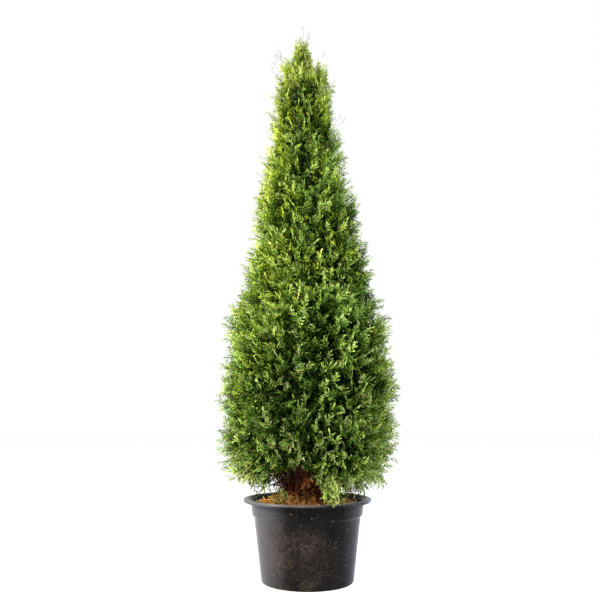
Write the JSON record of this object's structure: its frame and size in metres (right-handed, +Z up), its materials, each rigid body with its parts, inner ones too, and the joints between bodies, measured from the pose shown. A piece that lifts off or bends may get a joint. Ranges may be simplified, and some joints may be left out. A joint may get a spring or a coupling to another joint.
{
  "type": "potted thuja",
  "caption": "Tall narrow evergreen thuja with dense flat sprays of green foliage, in a round black plastic nursery container with a rolled lip.",
  "frame": {"origin": "centre of the container's flat underside", "axes": "+Z up along the plant's height; -Y towards the front, where the foot of the stems shows; +X to the right seen from the front"},
  "size_m": [0.7104, 0.7148, 2.266],
  "materials": {
    "container": "satin",
    "substrate": "matte",
    "bark": "matte",
    "foliage": "matte"
  },
  "bodies": {
    "root": {"bough_lower_1": "bark", "bough_lower_2": "bark", "bough_lower_3": "bark", "bough_lower_4": "bark", "bough_lower_5": "bark", "bough_middle_1": "bark", "bough_middle_2": "bark", "bough_middle_3": "bark", "bough_middle_4": "bark", "bough_waist_1": "bark", "bough_waist_2": "bark", "bough_waist_3": "bark", "bough_waist_4": "bark", "bough_waist_5": "bark", "crest_back": "foliage", "crest_front": "foliage", "crest_left": "foliage", "crest_right": "foliage", "lower_1": "foliage", "lower_2": "foliage", "lower_3": "foliage", "lower_4": "foliage", "lower_5": "foliage", "middle_1": "foliage", "middle_2": "foliage", "middle_3": "foliage", "middle_4": "foliage", "neck_1": "foliage", "neck_2": "foliage", "neck_3": "foliage", "pot": "container", "rim_spray": "foliage", "shoulder_1": "foliage", "shoulder_2": "foliage", "shoulder_3": "foliage", "skirt_back": "foliage", "skirt_back_left": "foliage", "skirt_front_right": "foliage", "skirt_left": "foliage", "skirt_right": "foliage", "skirt_window": "foliage", "soil": "substrate", "spire_back": "foliage", "spire_front": "foliage", "stem_1": "bark", "stem_2": "bark", "stem_3": "bark", "stem_4": "bark", "stem_5": "bark", "trunk": "bark", "upper_1": "foliage", "upper_2": "foliage", "upper_3": "foliage", "upper_4": "foliage", "waist_1": "foliage", "waist_2": "foliage", "waist_3": "foliage", "waist_4": "foliage", "waist_5": "foliage"}
  },
  "joints": []
}
